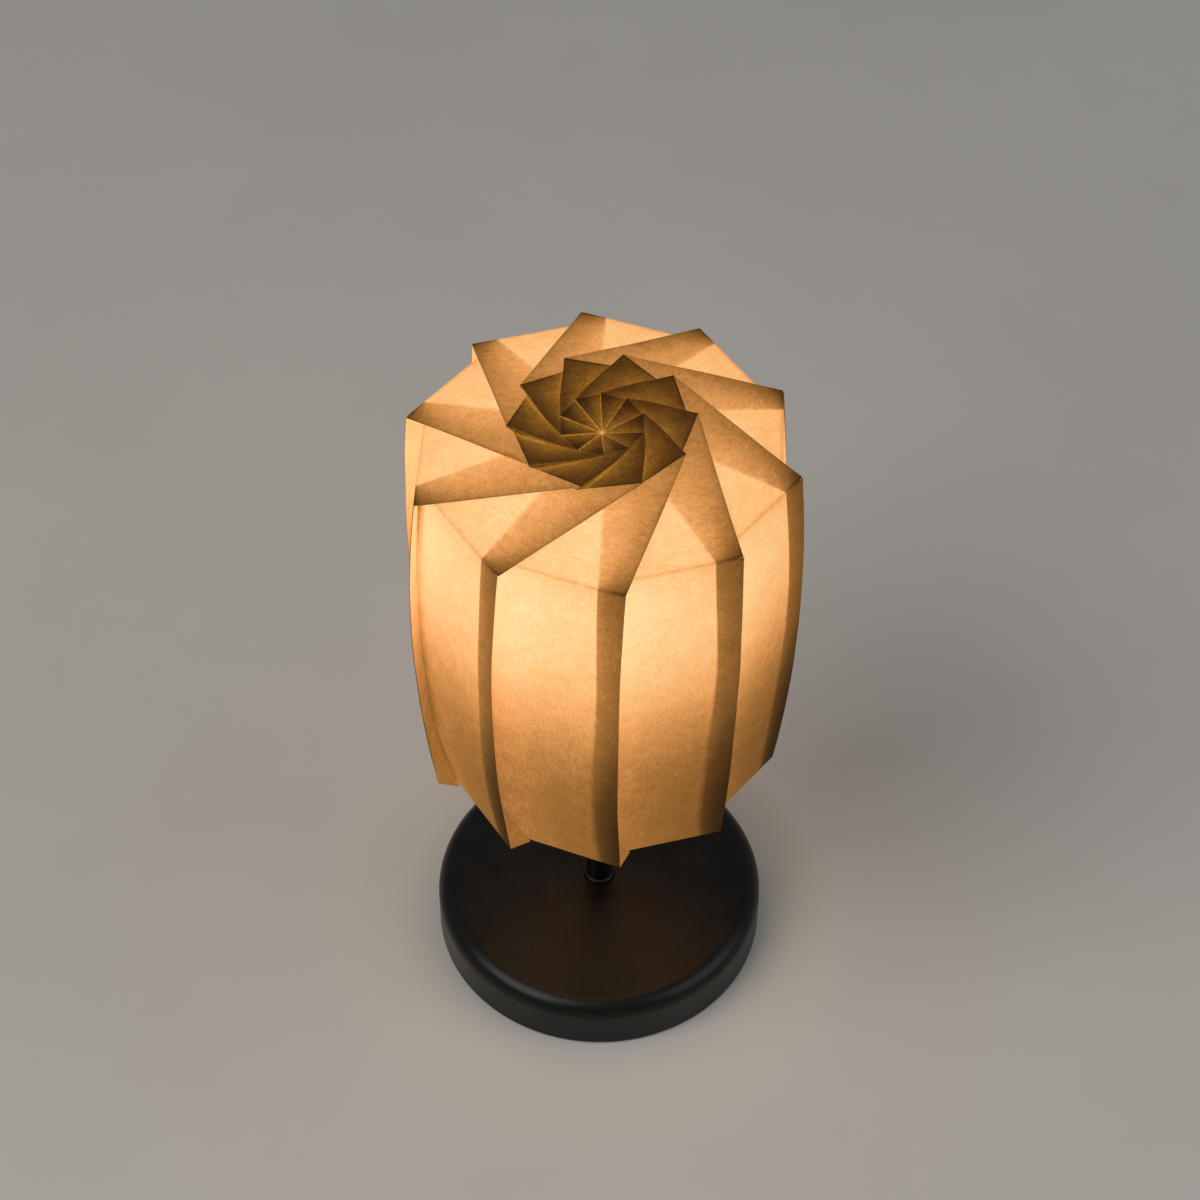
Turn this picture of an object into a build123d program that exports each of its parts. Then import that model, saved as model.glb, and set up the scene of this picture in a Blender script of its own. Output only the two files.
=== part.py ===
from build123d import *
import os
from math import cos, hypot, radians, sin

# A table lamp with a pleated paper shade. Lengths are in millimetres and angles in degrees.
# The origin is the centre of the footprint on the table, +Z is up and -Y is the lamp's front.

# ---- base ----
base_radius = 84.0            # outside of the spun cover
base_height = 32.0            # table to the flat round the stem
base_wall = 1.5
base_shoulder = 9.0           # radius of the rounded shoulder
base_crown = 1.5              # fall of the top from the flat to the shoulder
seat_radius = 18.0            # flat round the stem
skirt_lift = 1.5              # gap between the table and the cover's lower edge
foot_height = 3.0
foot_radius = 8.0
foot_inset = 26.0             # outside of the cover to the circle that the feet stand on
foot_count = 4
foot_chamfer = 0.8
bottom_plate_thickness = 1.2
plate_gap = 0.4               # round the bottom plate, inside the cover
ballast_gap = 6.5             # between the ballast and the cover's wall
ballast_thickness = 10.0
ballast_boss_radius = 16.0
ballast_chamfer = 1.5
washer_sink = 3.5             # top of the ballast down to the washer's seat
cable_slot_width = 8.0
cable_hole_radius = 5.0
cable_hole_inset = 38.0       # edge of the ballast to the axis of its cable hole
screw_inset = 36.0            # edge of the ballast to the circle of its screws
screw_radius = 2.0
screw_length = 6.0
screw_head_radius = 3.6
screw_head_height = 1.6
screw_slot = 0.8              # width and depth of the cross recess
screw_spare = 1.0             # hole below the screw's point
gland_height = 21.0           # table to the cable inlet's axis
gland_bore = 3.2              # radius of the cable's way
gland_neck = 5.0
gland_flange = 7.5
gland_flange_thickness = 2.0
gland_tail = 4.0              # length inside the cover
gland_round = 0.9

# ---- stem ----
stem_radius = 6.5
stem_length = 149.0
stem_bore = 5.3
collar_radius = 8.0
collar_height = 3.0
collar_seat = 1.5             # depth of the tube's seat in the collar
collar_round = 1.0
rod_radius = 5.0
rod_bore = 3.8
rod_end = 0.6                 # chamfer, and length below the nut
rod_grip = 2.0                # length above the lampholder's boss
nut_across_flats = 14.0
nut_height = 4.0
washer_radius = 9.0
washer_thickness = 1.2
nut_recess_radius = 12.0

# ---- lampholder ----
cap_boss_radius = 9.0
cap_boss_height = 6.0
cap_cone_height = 10.0
cap_height = 22.0
cap_round = 1.5
holder_radius = 20.0
holder_wall = 2.2
spigot_length = 4.0           # overlap of the skirt inside the cap
spigot_wall = 1.2
skirt_height = 44.0
flange_level = 16.0           # bottom of the skirt to its flange
flange_radius = 23.5
flange_thickness = 3.0
skirt_thread_radius = 19.5
skirt_chamfer = 0.8
insert_height = 12.0
insert_lift = 1.0             # joint of cap and skirt up to the insert
shell_radius = 13.45          # inside of the brass screw shell
shell_wall = 0.5
shell_height = 25.0
shell_lip = 2.0               # width of the lip at its foot
shell_gap = 1.0               # between the shell and the skirt
contact_width = 6.0
contact_thickness = 0.6
contact_tail = 10.0           # stem axis to the riveted end of the centre contact
contact_knee = 5.0
contact_start = 1.5           # half of the contact's raised seat
contact_end = 3.0
contact_lip = 3.0             # turned-down end of the contact
contact_lip_drop = 1.5
side_contact_tail = 5.0
terminal_radius = 3.0
terminal_height = 8.0
terminal_spacing = 18.0
terminal_gap = 1.0            # round a terminal in its recess
terminal_sink = 2.0           # depth of a terminal in the insert
wire_hole_radius = 1.1
ring_outer_radius = 26.0
ring_height = 5.0
ring_flange = 2.0             # width of the flange at its foot
ring_chamfer = 0.6
ring_grips = 24
ring_grip_radius = 0.9

# ---- bulb ----
contact_to_rim = 23.2         # bulb's end contact to the open rim of the lampholder
bulb_contact_radius = 4.5
bulb_contact_height = 1.4
bulb_contact_round = 0.9
bulb_contact_rim = 1.5        # insulator's ring round the contact
insulator_height = 3.6
bulb_cap_radius = 13.0
bulb_cap_height = 21.0
bulb_cap_bore = 12.0
bulb_cap_lip = 1.0            # width of the turned-in foot
bulb_cap_sheet = 0.6
bulb_cap_slope = 2.0          # height of the slope below the thread
bulb_cap_collar = 4.0         # plain length above the thread
thread_pitch = 3.6
thread_depth = 0.5
body_height = 36.0
body_top_radius = 22.4
body_wall = 1.8
body_overhang = 0.6           # outside of the cap
body_overlap = 1.5            # body's height below the cap's rim
body_floor = 1.0
neck_depth = 7.0              # neck of the body inside the cap
diffuser_radius = 30.0
diffuser_wall = 1.2
led_ledge = 1.2               # how far the bulb body's ledge carries the LED board
led_ledge_thickness = 1.0
led_board_sink = 1.0          # rim of the body down to the board
led_board_inset = 2.0         # wall of the body to the board
led_board_thickness = 1.6
led_count = 12
led_inset = 5.6               # edge of the LED board to the circle of its LEDs
led_size = 3.0
led_height = 0.8
driver_width = 17.0
driver_height = 26.0
driver_thickness = 1.6
driver_part_height = 3.0

# ---- shade carrier ----
wire_radius = 1.25            # ring under the shade
arm_radius = 1.5
carrier_ring_radius = 40.0
carrier_arms = 4
carrier_plate_radius = 27.0
carrier_plate_thickness = 1.2
arm_bend = 8.0                # centreline radius of the arms' lower bend
arm_overlap = 2.0             # length of an arm under the plate's edge
arm_sink = 0.1                # an arm's back lies this far below the plate's top

# ---- shade: one sheet in knife pleats ----
pleat_count = 10
paper = 0.5                   # thickness of the sheet
shade_height = 193.0          # rim crease to hem
bulb_to_rim = 9.0             # top of the bulb up to the rim crease
rim_radius = 88.0             # outer folds at the rim
belly_radius = 92.0           # outer folds half way down
hem_radius = 84.7             # outer folds at the hem
pleat_depth = 6.0             # outer folds stand this far outside the hidden folds
corner_angle = 6.4            # outer fold at the rim, from the front
fold_lead = 7.34              # outer fold ahead of its hidden fold
fold_sway = 1.7               # outer folds lean back half way down
fold_lean = 1.1               # hidden folds lean back at the hem
opening_start = 0.86          # share of the drop where the pleats begin to spring open
opening_depth = 8.0           # sprung pleat: its knee inside the outer fold
opening_lead = 4.2            # sprung pleat: its knee ahead of the outer fold
hidden_depth = 7.7            # sprung pleat: its hidden fold inside the outer fold
hidden_lag = 3.4              # sprung pleat: its hidden fold behind the outer fold

# ---- shade: twisted top ----
tip_radius = 41.5             # points of the rosette
tip_rise = 16.9               # points above the rim
tip_twist = 53.1              # point ahead of its corner at the rim
strap_end_radius = 36.0       # where the hidden edge of a strap ends
strap_end_lead = 1.5
eye_radius = 18.7             # small decagon round the dished centre
eye_rise = 14.3
eye_twist = 51.9              # eye corner ahead of its rosette point
centre_rise = 8.5             # middle of the dish above the rim
tip_overhang = 4.0            # a petal starts this far inside its neighbour's point
petal_thickness = 1.6         # a petal is several layers of the sheet
petal_tuck = 5.0              # hidden edge of a petal under its neighbour
dish_step = 0.8
dish_thickness = 2.0
dish_overlap = 1.05           # a dish sector reaches past the eye by this factor
knot_radius = 3.0             # pinched middle of the twist

# ---- fits ----
slip = 0.3                    # between bodies that come apart
close_fit = 0.05              # radius clearance of threads and pins
loose_fit = 0.2               # radius clearance of parts that drop in

# ---- places worked out from the sizes ----
ballast_radius = base_radius - base_wall - ballast_gap
foot_reach = base_radius - foot_inset
screw_reach = ballast_radius - screw_inset
cable_hole_reach = ballast_radius - cable_hole_inset
plate_level = foot_height
ballast_level = plate_level + bottom_plate_thickness
ballast_top = ballast_level + ballast_thickness
cover_underside = base_height - base_wall
washer_top = ballast_top - washer_sink
rod_level = washer_top - washer_thickness - nut_height - rod_end
tube_level = base_height + collar_height - collar_seat
holder_level = tube_level + stem_length
rod_length = holder_level + cap_boss_height + rod_grip - rod_level
skirt_level = holder_level + cap_height
insert_level = skirt_level + insert_lift
shell_level = insert_level + insert_height
flange_top = skirt_level + flange_level + flange_thickness
holder_rim = skirt_level + skirt_height
bulb_level = holder_rim - contact_to_rim
bulb_cap_level = bulb_level + bulb_contact_height + insulator_height
cap_rim = bulb_cap_level + bulb_cap_height
body_level = cap_rim - body_overlap
body_top = body_level + body_height
diffuser_centre = body_top + (diffuser_radius**2 - body_top_radius**2) ** 0.5
bulb_top = diffuser_centre + diffuser_radius
rim_level = bulb_top + bulb_to_rim
hem_level = rim_level - shade_height
pitch_angle = 360 / pleat_count

os.makedirs("parts", exist_ok=True)


def write(name, part):
    """Label a finished piece and write its STEP file."""
    part.label = name
    export_step(part, f"parts/{name}.step")


# ======================================================================== base


def cover_outline(inset):
    """Half section of the base cover, drawn in by the wall."""
    radius = base_radius - inset
    top = base_height - inset
    edge = top - base_crown
    shoulder = base_shoulder - inset
    with BuildLine() as outline:
        Line((0, skirt_lift), (radius, skirt_lift))
        Line((radius, skirt_lift), (radius, edge - shoulder))
        RadiusArc((radius, edge - shoulder), (radius - shoulder, edge), -shoulder)
        Line((radius - shoulder, edge), (seat_radius, top))
        Polyline((seat_radius, top), (0, top), (0, skirt_lift))
    return outline.line


with BuildPart() as base_cover:
    with BuildSketch(Plane.XZ):
        make_face(cover_outline(0))
        make_face(cover_outline(base_wall), mode=Mode.SUBTRACT)
        with Locations((base_radius / 2, skirt_lift)):
            Rectangle(base_radius - 2 * base_wall, 2 * base_wall, mode=Mode.SUBTRACT)
    revolve(axis=Axis.Z)
    with Locations((0, 0, base_height)):
        Hole(rod_radius + loose_fit, depth=2 * base_wall)
    with BuildSketch(Plane.XZ.offset(-base_radius - base_wall)):
        with Locations((0, gland_height)):
            Circle(gland_neck + loose_fit)
    extrude(amount=3 * base_wall, mode=Mode.SUBTRACT)
write("base_cover", base_cover.part)

with BuildPart() as ballast:
    with BuildSketch(Plane.XY.offset(ballast_level)):
        Circle(ballast_radius)
    extrude(amount=ballast_thickness)
    chamfer(ballast.edges().group_by(Axis.Z)[-1], ballast_chamfer)
    with BuildSketch(Plane.XY.offset(ballast_top)):
        Circle(ballast_boss_radius)
    extrude(amount=cover_underside - ballast_top)
    with BuildSketch(Plane.XY.offset(ballast_level)):
        Circle(nut_recess_radius)
        with Locations((0, cable_hole_reach / 2)):
            Rectangle(cable_slot_width, cable_hole_reach)
        with Locations((0, cable_hole_reach)):
            Circle(cable_hole_radius)
    extrude(amount=washer_top - ballast_level, mode=Mode.SUBTRACT)
    with Locations((0, 0, cover_underside)):
        Hole(rod_radius + loose_fit)
    with Locations((0, cable_hole_reach, ballast_top)):
        Hole(cable_hole_radius, depth=ballast_thickness)
    with Locations(Location((0, 0, ballast_level), (180, 0, 0))):
        with PolarLocations(screw_reach, foot_count, 45):
            Hole(screw_radius + close_fit, depth=screw_length - bottom_plate_thickness + screw_spare)
write("ballast", ballast.part)

with BuildPart() as bottom_plate:
    with BuildSketch(Plane.XY.offset(plate_level)):
        Circle(base_radius - base_wall - plate_gap)
        with PolarLocations(screw_reach, foot_count, 45):
            Circle(screw_radius + loose_fit, mode=Mode.SUBTRACT)
    extrude(amount=bottom_plate_thickness)
write("bottom_plate", bottom_plate.part)

with BuildPart() as bottom_screws:
    with BuildSketch(Plane.XY.offset(plate_level)):
        with PolarLocations(screw_reach, foot_count, 45):
            Circle(screw_head_radius)
    extrude(amount=-screw_head_height)
    chamfer(bottom_screws.edges().group_by(Axis.Z)[0], screw_head_height / 2)
    with BuildSketch(Plane.XY.offset(plate_level)):
        with PolarLocations(screw_reach, foot_count, 45):
            Circle(screw_radius)
    extrude(amount=screw_length)
    with BuildSketch(Plane.XY.offset(plate_level - screw_head_height)):
        with PolarLocations(screw_reach, foot_count, 45):
            Rectangle(screw_head_radius, screw_slot)
            Rectangle(screw_slot, screw_head_radius)
    extrude(amount=screw_slot, mode=Mode.SUBTRACT)
write("bottom_screws", bottom_screws.part)

with BuildPart() as rubber_feet:
    with BuildSketch():
        with PolarLocations(foot_reach, foot_count):
            Circle(foot_radius)
    extrude(amount=foot_height)
    chamfer(rubber_feet.edges().group_by(Axis.Z)[0], foot_chamfer)
write("rubber_feet", rubber_feet.part)

with BuildPart() as cord_gland:
    flange_face = Plane.XZ.offset(-base_radius - gland_flange_thickness)
    with BuildSketch(flange_face):
        with Locations((0, gland_height)):
            Circle(gland_flange)
    extrude(amount=gland_flange_thickness)
    with BuildSketch(flange_face):
        with Locations((0, gland_height)):
            Circle(gland_neck)
    extrude(amount=gland_flange_thickness + base_wall + gland_tail)
    fillet(cord_gland.edges().group_by(Axis.Y)[-1], gland_round)
    with BuildSketch(flange_face):
        with Locations((0, gland_height)):
            Circle(gland_bore)
    extrude(amount=gland_flange_thickness + base_wall + gland_tail, mode=Mode.SUBTRACT)
write("cord_gland", cord_gland.part)

# ======================================================================== stem

with BuildPart() as stem_collar:
    with BuildSketch(Plane.XY.offset(base_height)):
        Circle(collar_radius)
    extrude(amount=collar_height)
    fillet(stem_collar.edges().group_by(Axis.Z)[-1], collar_round)
    with Locations((0, 0, base_height + collar_height)):
        CounterBoreHole(rod_radius + loose_fit, stem_radius + close_fit, collar_seat)
write("stem_collar", stem_collar.part)

with BuildPart() as stem_tube:
    with BuildSketch(Plane.XY.offset(tube_level)):
        Circle(stem_radius)
        Circle(stem_bore, mode=Mode.SUBTRACT)
    extrude(amount=stem_length)
write("stem_tube", stem_tube.part)

with BuildPart() as threaded_rod:
    with BuildSketch(Plane.XY.offset(rod_level)):
        Circle(rod_radius)
    extrude(amount=rod_length)
    chamfer(threaded_rod.edges().filter_by(GeomType.CIRCLE), rod_end)
    with BuildSketch(Plane.XY.offset(rod_level)):
        Circle(rod_bore)
    extrude(amount=rod_length, mode=Mode.SUBTRACT)
write("threaded_rod", threaded_rod.part)

with BuildPart() as ballast_washer:
    with BuildSketch(Plane.XY.offset(washer_top - washer_thickness)):
        Circle(washer_radius)
        Circle(rod_radius + loose_fit, mode=Mode.SUBTRACT)
    extrude(amount=washer_thickness)
write("ballast_washer", ballast_washer.part)

with BuildPart() as ballast_nut:
    with BuildSketch(Plane.XY.offset(washer_top - washer_thickness - nut_height)):
        RegularPolygon(nut_across_flats / 2, 6, major_radius=False)
        Circle(rod_radius + close_fit, mode=Mode.SUBTRACT)
    extrude(amount=nut_height)
write("ballast_nut", ballast_nut.part)

# ================================================================== lampholder

with BuildPart() as holder_cap:
    cone_top = cap_boss_height + cap_cone_height
    with BuildSketch(Plane.XZ):
        with BuildLine():
            Polyline(
                (0, holder_level),
                (cap_boss_radius, holder_level),
                (cap_boss_radius, holder_level + cap_boss_height),
                (holder_radius, holder_level + cone_top),
                (holder_radius, skirt_level),
                (0, skirt_level),
                close=True,
            )
        make_face()
    revolve(axis=Axis.Z)
    fillet(holder_cap.edges().group_by(Axis.Z)[1:3], cap_round)
    with BuildSketch(Plane.XZ):
        inner = holder_radius - holder_wall
        with BuildLine():
            Polyline(
                (0, holder_level + cap_boss_height + holder_wall),
                (cap_boss_radius - holder_wall, holder_level + cap_boss_height + holder_wall),
                (inner, holder_level + cone_top + holder_wall / 2),
                (inner, skirt_level),
                (0, skirt_level),
                close=True,
            )
        make_face()
    revolve(axis=Axis.Z, mode=Mode.SUBTRACT)
    with Locations((0, 0, skirt_level)):
        Hole(rod_radius + close_fit, depth=2 * cap_height)
write("holder_cap", holder_cap.part)

spigot_radius = holder_radius - holder_wall - loose_fit
insert_radius = spigot_radius - spigot_wall
chamber_radius = shell_radius + shell_wall + shell_gap

with BuildPart() as holder_skirt:
    with BuildSketch(Plane.XZ):
        with BuildLine():
            Polyline(
                (chamber_radius, holder_rim),
                (chamber_radius, shell_level),
                (insert_radius + loose_fit, shell_level),
                (insert_radius + loose_fit, skirt_level - spigot_length),
                (spigot_radius, skirt_level - spigot_length),
                (spigot_radius, skirt_level),
                (holder_radius, skirt_level),
                (holder_radius, skirt_level + flange_level),
                (flange_radius, skirt_level + flange_level),
                (flange_radius, flange_top),
                (skirt_thread_radius, flange_top),
                (skirt_thread_radius, holder_rim),
                close=True,
            )
        make_face()
    revolve(axis=Axis.Z)
    chamfer(holder_skirt.edges().group_by(Axis.Z)[-1].sort_by(SortBy.RADIUS)[-1], skirt_chamfer)
write("holder_skirt", holder_skirt.part)

with BuildPart() as holder_insert:
    with BuildSketch(Plane.XY.offset(insert_level)):
        Circle(insert_radius)
    extrude(amount=insert_height)
    with BuildSketch(Plane.XY.offset(insert_level)):
        with GridLocations(terminal_spacing, 0, 2, 1):
            Circle(terminal_radius + terminal_gap)
    extrude(amount=terminal_sink, mode=Mode.SUBTRACT)
    with BuildSketch(Plane.XY.offset(insert_level)):
        Circle(rod_bore)
    extrude(amount=insert_height / 2, mode=Mode.SUBTRACT)
write("holder_insert", holder_insert.part)

with BuildPart() as wire_terminals:
    with BuildSketch(Plane.XY.offset(insert_level + terminal_sink)):
        with GridLocations(terminal_spacing, 0, 2, 1):
            Circle(terminal_radius)
    extrude(amount=-terminal_height)
    with BuildSketch(Plane.XZ.offset(-2 * terminal_radius)):
        with Locations((0, insert_level - terminal_height / 2)):
            with GridLocations(terminal_spacing, 0, 2, 1):
                Circle(wire_hole_radius)
    extrude(amount=4 * terminal_radius, mode=Mode.SUBTRACT)
write("wire_terminals", wire_terminals.part)

lip_radius = shell_radius - shell_lip

with BuildPart() as screw_shell:
    with BuildSketch(Plane.XY.offset(shell_level)):
        Circle(shell_radius + shell_wall)
        Circle(shell_radius, mode=Mode.SUBTRACT)
    extrude(amount=shell_height)
    with BuildSketch(Plane.XY.offset(shell_level)):
        Circle(shell_radius + shell_wall)
        Circle(lip_radius, mode=Mode.SUBTRACT)
    extrude(amount=shell_wall)
write("screw_shell", screw_shell.part)

contact_top = bulb_level - slip

with BuildPart() as centre_contact:
    with BuildSketch(Plane.XZ):
        lift = contact_thickness / 2
        with BuildLine():
            Polyline(
                (-contact_tail, shell_level + lift),
                (-contact_knee, shell_level + lift),
                (-contact_start, contact_top - lift),
                (contact_end, contact_top - lift),
                (contact_end + contact_lip, contact_top - lift - contact_lip_drop),
            )
        trace(line_width=contact_thickness)
    extrude(amount=contact_width / 2, both=True)
write("centre_contact", centre_contact.part)

with BuildPart() as side_contact:
    with BuildSketch(Plane.XZ):
        with BuildLine():
            Polyline(
                (side_contact_tail, shell_level + lift),
                (lip_radius - contact_thickness, shell_level + lift),
                (lip_radius - contact_thickness, shell_level + shell_wall + lift),
                (shell_radius - loose_fit, shell_level + shell_wall + lift),
            )
        trace(line_width=contact_thickness)
    extrude(amount=contact_width / 3, both=True)
write("side_contact", side_contact.part)

ring_level = flange_top + carrier_plate_thickness + slip

with BuildPart() as holder_ring:
    with BuildSketch(Plane.XY.offset(ring_level)):
        Circle(ring_outer_radius)
    extrude(amount=ring_height / 3)
    with BuildSketch(Plane.XY.offset(ring_level)):
        Circle(ring_outer_radius - ring_flange)
    extrude(amount=ring_height)
    chamfer(holder_ring.edges().group_by(Axis.Z)[-1], ring_chamfer)
    with BuildSketch(Plane.XY.offset(ring_level + ring_height / 3)):
        with PolarLocations(ring_outer_radius - ring_flange, ring_grips):
            Circle(ring_grip_radius)
    extrude(amount=ring_height, mode=Mode.SUBTRACT)
    with BuildSketch(Plane.XY.offset(ring_level)):
        Circle(skirt_thread_radius + close_fit)
    extrude(amount=ring_height, mode=Mode.SUBTRACT)
write("holder_ring", holder_ring.part)

# ======================================================================== bulb

with BuildPart() as bulb_contact:
    with BuildSketch(Plane.XY.offset(bulb_level)):
        Circle(bulb_contact_radius)
    extrude(amount=bulb_contact_height)
    fillet(bulb_contact.edges().group_by(Axis.Z)[0], bulb_contact_round)
write("bulb_contact", bulb_contact.part)

with BuildPart() as bulb_insulator:
    with BuildSketch(Plane.XY.offset(bulb_level + bulb_contact_height)):
        Circle(bulb_contact_radius + bulb_contact_rim)
    with BuildSketch(Plane.XY.offset(bulb_cap_level)):
        Circle(bulb_cap_bore - bulb_cap_lip)
    loft()
write("bulb_insulator", bulb_insulator.part)

with BuildPart() as bulb_cap:
    thread_level = bulb_cap_level + bulb_cap_slope
    thread_count = int((bulb_cap_height - bulb_cap_slope - bulb_cap_collar) / thread_pitch)
    root_radius = bulb_cap_radius - thread_depth
    lip_bore = bulb_cap_bore - bulb_cap_lip
    with BuildSketch(Plane.XZ):
        with BuildLine():
            Line((lip_bore, bulb_cap_level), (root_radius, thread_level))
            for turn in range(thread_count):
                foot = thread_level + turn * thread_pitch
                ThreePointArc(
                    (root_radius, foot),
                    (bulb_cap_radius, foot + thread_pitch / 2),
                    (root_radius, foot + thread_pitch),
                )
            Polyline(
                (root_radius, thread_level + thread_count * thread_pitch),
                (root_radius, cap_rim),
                (bulb_cap_bore, cap_rim),
                (bulb_cap_bore, thread_level + bulb_cap_sheet),
                (lip_bore, bulb_cap_level + bulb_cap_sheet),
                (lip_bore, bulb_cap_level),
            )
        make_face()
    revolve(axis=Axis.Z)
write("bulb_cap", bulb_cap.part)

neck_radius = bulb_cap_bore - close_fit
board_level = body_top - led_board_thickness - led_board_sink
board_radius = body_top_radius - body_wall - led_board_inset
ledge_radius = board_radius - led_ledge
ledge_foot = board_level - led_ledge_thickness

with BuildPart() as bulb_body:
    with BuildSketch(Plane.XZ):
        with BuildLine():
            Polyline(
                (neck_radius - body_wall, cap_rim - neck_depth),
                (neck_radius, cap_rim - neck_depth),
                (neck_radius, cap_rim),
                (bulb_cap_radius + body_overhang, cap_rim),
            )
            Spline(
                (bulb_cap_radius + body_overhang, cap_rim),
                (body_top_radius, body_top),
                tangents=((0.25, 1), (0.5, 1)),
            )
            Polyline(
                (body_top_radius, body_top),
                (board_radius + close_fit, body_top),
                (board_radius + close_fit, board_level),
                (ledge_radius, board_level),
                (ledge_radius, ledge_foot),
            )
            Spline(
                (ledge_radius, ledge_foot),
                (neck_radius - body_wall, cap_rim + body_floor),
                tangents=((-0.5, -1), (-0.25, -1)),
            )
            Line(
                (neck_radius - body_wall, cap_rim + body_floor),
                (neck_radius - body_wall, cap_rim - neck_depth),
            )
        make_face()
    revolve(axis=Axis.Z)
write("bulb_body", bulb_body.part)

with BuildPart() as led_board:
    with BuildSketch(Plane.XY.offset(board_level)):
        Circle(board_radius)
    extrude(amount=led_board_thickness)
write("led_board", led_board.part)

with BuildPart() as led_chips:
    with BuildSketch(Plane.XY.offset(board_level + led_board_thickness)):
        with PolarLocations(board_radius - led_inset, led_count):
            Rectangle(led_size, led_size)
    extrude(amount=led_height)
write("led_chips", led_chips.part)

with BuildPart() as driver_board:
    with BuildSketch(Plane.XY.offset(board_level)):
        Rectangle(driver_width, driver_thickness)
    extrude(amount=-driver_height)
    with BuildSketch(Plane.XZ.offset(driver_thickness / 2)):
        with Locations((0, board_level - driver_height / 2)):
            with GridLocations(driver_width / 2, driver_height / 2, 2, 2):
                Rectangle(driver_width / 4, driver_height / 5)
    extrude(amount=driver_part_height)
write("driver_board", driver_board.part)

with BuildPart() as bulb_diffuser:
    with BuildSketch(Plane.XZ):
        with Locations((0, diffuser_centre)):
            Circle(diffuser_radius)
            Circle(diffuser_radius - diffuser_wall, mode=Mode.SUBTRACT)
        with Locations((-diffuser_radius, diffuser_centre)):
            Rectangle(2 * diffuser_radius, 3 * diffuser_radius, mode=Mode.SUBTRACT)
        with Locations((diffuser_radius, body_top - diffuser_radius)):
            Rectangle(2 * diffuser_radius, 2 * diffuser_radius, mode=Mode.SUBTRACT)
    revolve(axis=Axis.Z)
write("bulb_diffuser", bulb_diffuser.part)

# ======================================================================= shade


def polar(radius, angle, rise=0.0):
    """A point by its radius, its angle from the front and its height above the rim crease."""
    turn = radians(angle - 90)
    return Vector(radius * cos(turn), radius * sin(turn), rim_level + rise)


def outer_fold_radius(drop):
    """Outer folds swell from the rim to the belly and draw in again to the hem."""
    quarter = belly_radius - (rim_radius + hem_radius) / 2
    return rim_radius + (hem_radius - rim_radius) * drop + 4 * quarter * drop * (1 - drop)


def pleat_points(index, drop):
    """Centreline of one pleat at a share of the drop: outer fold, knee and hidden fold."""
    sprung = max(0.0, (drop - opening_start) / (1 - opening_start))
    radius = outer_fold_radius(drop)
    start = corner_angle + index * pitch_angle
    fold_angle = start - fold_sway * 4 * drop * (1 - drop)
    hidden_angle = start - fold_lead - fold_lean * drop
    fold = polar(radius, fold_angle)
    closed_hidden = polar(radius - pleat_depth, hidden_angle)
    open_hidden = polar(radius - hidden_depth, fold_angle - hidden_lag)
    open_knee = polar(radius - opening_depth, fold_angle + opening_lead)
    closed_knee = (fold + closed_hidden) * 0.5
    knee = closed_knee + (open_knee - closed_knee) * sprung
    hidden = closed_hidden + (open_hidden - closed_hidden) * sprung
    return fold, knee, hidden


def sheet_loop(drop, side):
    """One face of the zigzag sheet as a closed outline: side is 1 outside and -1 inside."""
    centre = []
    for index in range(pleat_count):
        centre += pleat_points(index, drop)
    outline = []
    for number, point in enumerate(centre):
        before = centre[number - 1]
        after = centre[(number + 1) % len(centre)]
        arriving = (point - before).normalized()
        leaving = (after - point).normalized()
        first = Vector(arriving.Y, -arriving.X) * side * paper / 2
        second = Vector(leaving.Y, -leaving.X) * side * paper / 2
        blunt_outside = side > 0 and number % 3 == 0
        blunt_inside = side < 0 and number % 3 == 2
        if blunt_outside or blunt_inside:
            corners = [first, second]
        else:
            mitre = 1 + first.dot(second) / (paper / 2) ** 2
            corners = [(first + second) * (1 / mitre)]
        outline += [(point.X + corner.X, point.Y + corner.Y) for corner in corners]
    return outline


stations = [0, 0.12, 0.3, 0.5, 0.7, opening_start, 1]


def sheet_wire(drop, side, extra=0.0):
    """One face of the sheet as a closed wire at a share of the drop."""
    level = rim_level - drop * shade_height - extra
    return Wire.make_polygon([Vector(x, y, level) for x, y in sheet_loop(drop, side)])


def sheet_solid(side, overshoot):
    """The space inside one face of the pleated wall, from the rim to just past the hem."""
    wires = [sheet_wire(drop, side) for drop in stations]
    if overshoot > 0:
        wires.append(sheet_wire(1, side, overshoot))
    return Solid.make_loft(wires, ruled=True)


def facet(corners, thickness):
    """A flat facet of the sheet through its corners, with its thickness underneath."""
    face = Face(Wire.make_polygon(corners))
    amount = -thickness if face.normal_at().Z > 0 else thickness
    return extrude(face, amount=amount, mode=Mode.PRIVATE)


def drop_to_facet(plane_points, spot):
    """The point straight above or below a spot that lies on the plane of three points."""
    first, second, third = plane_points
    normal = (second - first).cross(third - first).normalized()
    level = first.Z - (normal.X * (spot.X - first.X) + normal.Y * (spot.Y - first.Y)) / normal.Z
    return Vector(spot.X, spot.Y, level)


hidden_radius = rim_radius - pleat_depth
hidden_start = corner_angle - fold_lead
tip_angle = corner_angle + tip_twist
eye_angle = tip_angle + eye_twist

# Corners of one pleat's share of the top. The strap runs from the rim crease to the rosette.
strap_foot = polar(hidden_radius, hidden_start - pitch_angle)
strap_corner = polar(rim_radius, corner_angle)
tip = polar(tip_radius, tip_angle, tip_rise)
strap_plane = (strap_foot, strap_corner, tip)
strap_end_angle = hidden_start - pitch_angle + strap_end_lead
strap_end = drop_to_facet(strap_plane, polar(strap_end_radius, strap_end_angle))
next_tip = polar(tip_radius, tip_angle - pitch_angle, tip_rise)
next_eye = polar(eye_radius, eye_angle - pitch_angle, eye_rise)
free_edge = (next_eye - next_tip).normalized()
petal_start = drop_to_facet(strap_plane, next_tip + free_edge * tip_overhang)

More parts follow.
